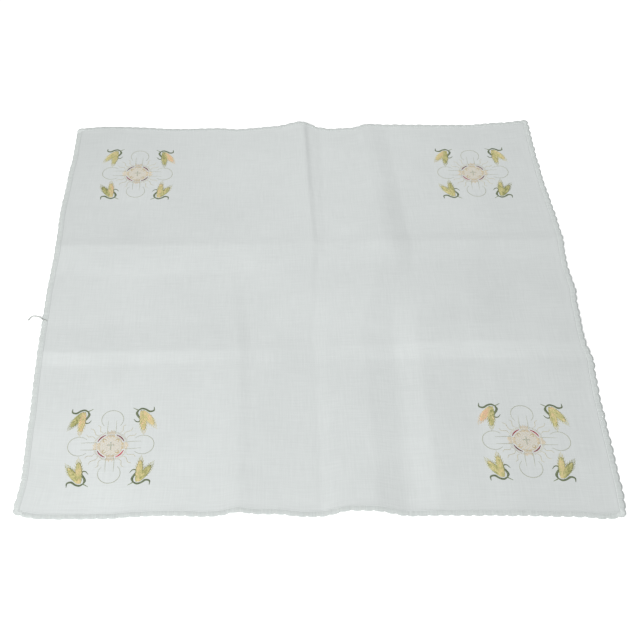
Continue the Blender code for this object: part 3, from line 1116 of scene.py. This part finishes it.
# how far the outer grains lean out: shares of the way up the ear, and the distance at each
EAR_SWELL = ((0.0, 0.35, 0.7, 1.0), (1.5, 2.5, 2.0, 0.7))
LOWER_LEAF = ((-8.4, -14), (-8.3, -10.4), (-4.8, -9.4), (-1.2, -11.8), (2.4, -12.7), (5.4, -11))
UPPER_LEAF = ((5.4, -11), (6.5, -7.6), (5, -4.2), (3.2, -1.4), (4.1, 1.1), (6.6, 1.1), (8.8, -1.4))
STALK = ((5.2, -11), (9.6, -13.6))


def wheat_ear(base, tip, tone):
    """An ear from its base to the tip of its top grain."""
    base, tip = np.array(base, float), np.array(tip, float)
    length = np.hypot(*(tip - base))
    up = (tip - base) / length
    aside = np.array((-up[1], up[0]))
    rows = []
    for share in np.linspace(0, 1, GRAINS_A_ROW):
        for side in (-1, 1, 0):
            # The middle row of grains lies half a grain higher, over the roots of the outer two.
            root = base + up * (share * (length - GRAIN_LENGTH) + 1.2 * (side == 0)) + aside * 0.5 * side
            end = root + up * GRAIN_LENGTH + aside * side * np.interp(share, *EAR_SWELL)
            lean = (end - root) / np.hypot(*(end - root))
            over = np.array((-lean[1], lean[0]))
            inset = 0.8 * abs(THREADS_A_GRAIN)[:, None] ** 2 * lean
            start = root + THREADS_A_GRAIN[:, None] * over * 0.9 + inset
            stop = end + THREADS_A_GRAIN[:, None] * over * 0.5 - 1.2 * inset
            grain_tone = tone + chance.uniform(-0.25, 0.25)
            lift = SEWN_LIFT + 0.08 * share + 0.1 * (side == 0)
            rows.append(long_stitches(start, stop, 0.6, "wheat", grain_tone, lift, 0.42))
            shadow = aside * side * 0.7
            rows.append(long_stitches(root + shadow, end + shadow, 0.35, "wheat", tone - 0.35, lift, 0.42))
            if side and share > 0.3:
                far = end + lean * 2.4 + up * 1.8
                rows.append(long_stitches(end - lean, far, 0.34, "wheat", tone - 0.1, high=0.25))
    for number in range(-3, 4):
        start = tip - up * (1.2 + 0.9 * abs(number)) + aside * 0.55 * number
        far = start + (turn_by(2.5 * number) @ up) * (8.2 - 0.9 * abs(number))
        middle = (start + far) / 2
        rows.append(long_stitches(start, middle, 0.42, "wheat", tone - 0.1, high=0.25))
        rows.append(long_stitches(middle, far, 0.3, "wheat", tone - 0.1, high=0.2))
    return np.concatenate(rows)


def sprig(inner_tone, outer_tone):
    """A sprig about its own middle, as it stands at the near left of the cross."""
    rows = [
        satin(STALK, (1.1, 0.4), "leaf", 0.9),
        wheat_ear((1.0, -9.8), (-8.2, 4.2), outer_tone),
        wheat_ear((1.8, -11.0), (0.0, 9.4), inner_tone),
        satin(LOWER_LEAF, (0.5, 1.5, 2.0, 1.7, 1.9, 1.3), "leaf", 0.4),
        satin(UPPER_LEAF, (1.2, 2.3, 2.0, 1.7, 1.3, 1.0, 0.4), "leaf", 0.4),
    ]
    return np.concatenate(rows)


print("a sprig:", len(sprig(0.5, 0.5)), "stitches")

# %% [markdown]
# The four motifs are copies with their own place and a slight turn, as the hoop was set by eye.
# The shaded thread runs on from one to the next, so the same ear is olive in one corner and
# peach in another.

# %% Sew the four corners
# corner: (x of its middle, y of its middle, turn in degrees), in millimetres
MOTIF_PLACES = {
    "back_left": (-176.8, 172.8, 0.6),
    "back_right": (179.2, 169.2, -0.8),
    "front_left": (-176.1, -179.0, 0.5),
    "front_right": (179.4, -176.5, -0.5),
}
# (x of its middle, y of its middle, mirrored in x, mirrored in y)
SPRIG_PLACES = ((-26.5, -26.5, 1, 1), (26.5, -26.5, -1, 1), (-27.5, 25.5, 1, -1), (27.5, 25.5, -1, -1))
# how far the shaded thread has turned to peach, in the inner and the outer ear of each sprig
EAR_TONES = {
    "back_left": ((0.65, 0.15), (0.55, 0.35), (0.45, 0.5), (0.3, 0.85)),
    "back_right": ((0.3, 0.4), (0.35, 0.05), (0.2, 0.65), (0.4, 0.55)),
    "front_left": ((0.5, 0.3), (0.5, 0.3), (0.7, 0.1), (0.55, 0.65)),
    "front_right": ((0.5, 0.4), (0.5, 0.2), (0.35, 0.95), (0.5, 0.4)),
}
# how red the shaded thread is in each of the ring's four arcs, going round from the right back
ARC_TONES = {
    "back_left": (0.1, 0.1, 0.3, 0.1),
    "back_right": (0.1, 0.1, 0.4, 0.2),
    "front_left": (0.15, 0.3, 0.4, 0.8),
    "front_right": (0.5, 0.4, 0.1, 0.3),
}


def motif(tones, arc_tones):
    rows = [mapped(quarter_of_cross(tone), turn_by(90 * turn)) for turn, tone in enumerate(arc_tones)]
    rows += [disc_fill(), middle_cross()]
    for (x, y, mirror_x, mirror_y), ear_tones in zip(SPRIG_PLACES, tones):
        rows.append(mapped(sprig(*ear_tones), np.diag((mirror_x, mirror_y)), (x, y)))
    return np.concatenate(rows)


embroideries = {}
for corner, (x, y, turned_by) in MOTIF_PLACES.items():
    rows = mapped(motif(EAR_TONES[corner], ARC_TONES[corner]), turn_by(turned_by), (x, y))
    rows[:, 0:8] *= MM
    embroideries[corner] = sewn("embroidery_" + corner, [rows], EMBROIDERY_THREADS.values())
    print(corner, len(rows), "stitches,", count_triangles(embroideries[corner]), "triangles")

# %% [markdown]
# ## Laying the cloth
#
# The flat work is finished. Now every piece is laid over the folds with the same function, so the
# edging stays on the hem and each stitch stays on its threads.

# %% Lay everything
for piece in (linen, *edgings.values(), *embroideries.values()):
    lay(piece)
bpy.data.objects.remove(stitch, do_unlink=True)
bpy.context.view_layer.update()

# %% [markdown]
# ## A loose end of yarn
#
# On the left side a short end of yarn has come out of the hem and lies on the table. It is three
# fine yarns twisted together. A curve is the natural way to make it: each yarn is a smooth path
# with a round section, turned into a mesh.

# %% Loose yarn
# (x, y, height of its middle), in millimetres
LOOSE_END = (
    (-247.5, -37.6, 0.8), (-250.4, -36.9, 1.1), (-252.6, -35.4, 1.0), (-254.8, -33.1, 0.8),
    (-258.8, -31.9, 0.75), (-261.8, -31.6, 0.75), (-263.9, -33.2, 0.7), (-265.4, -36.9, 0.7),
)
YARNS = 3
YARN_RADIUS = 0.38 * MM
YARN_STEP = 0.35 * MM
YARN_TONE = 0.3
TWISTS = 5.0
# The yarns stand further apart and grow thinner towards the loose tip.
FRAY, TAPER = 0.5, 0.25

grey_yarn = thread_material("Unbleached grey-white linen yarn", ("#AFB3B0", "#BFC3C0"), 0.9, 0.1)
middle = np.array(LOOSE_END) * MM
path, heading = smooth_path(middle[:, :2], YARN_STEP)
path_height = np.interp(np.linspace(0, 1, len(path)), np.linspace(0, 1, len(middle)), middle[:, 2])
yarn_pieces = []
for number in range(YARNS):
    curve = bpy.data.curves.new("loose_yarn", "CURVE")
    curve.dimensions = "3D"
    curve.bevel_depth = YARN_RADIUS
    curve.bevel_resolution = 1
    curve.use_fill_caps = True
    line = curve.splines.new("POLY")
    line.points.add(len(path) - 1)
    for step, (point, (ahead_x, ahead_y), tall) in enumerate(zip(path, heading, path_height)):
        share = step / (len(path) - 1)
        angle = math.tau * (number / YARNS + TWISTS * share)
        sideways = YARN_RADIUS * (0.9 + FRAY * share**3) * math.cos(angle)
        x, y = point[0] - ahead_y * sideways, point[1] + ahead_x * sideways
        line.points[step].co = (x, y, tall + 0.8 * YARN_RADIUS * math.sin(angle), 1)
        line.points[step].radius = 1 - TAPER * share
    select_only(new_object("loose_yarn", curve))
    bpy.ops.object.convert(target="MESH")
    yarn_pieces.append(bpy.context.active_object)
select_only(*yarn_pieces)
bpy.ops.object.join()
loose_yarn = bpy.context.active_object
loose_yarn.name = "loose_yarn"
loose_yarn.data.shade_smooth()
places = points_of(loose_yarn)
thread_data(loose_yarn, places[:, 0], places[:, 1], np.full(len(places), YARN_TONE))
loose_yarn.data.materials.clear()
loose_yarn.data.materials.append(grey_yarn)
print("loose yarn:", round(1000 * YARN_STEP * (len(path) - 1), 1), "mm,", count_triangles(loose_yarn))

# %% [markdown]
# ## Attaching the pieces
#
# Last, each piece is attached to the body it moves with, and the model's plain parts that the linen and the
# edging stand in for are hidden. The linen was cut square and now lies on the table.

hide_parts(CLOTH_NODE)
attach(linen, "root")
for side, piece in edgings.items():
    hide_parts(EDGING_NODES[side])
    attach(piece, "root")
for piece in embroideries.values():
    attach(piece, "root")
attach(loose_yarn, "root")
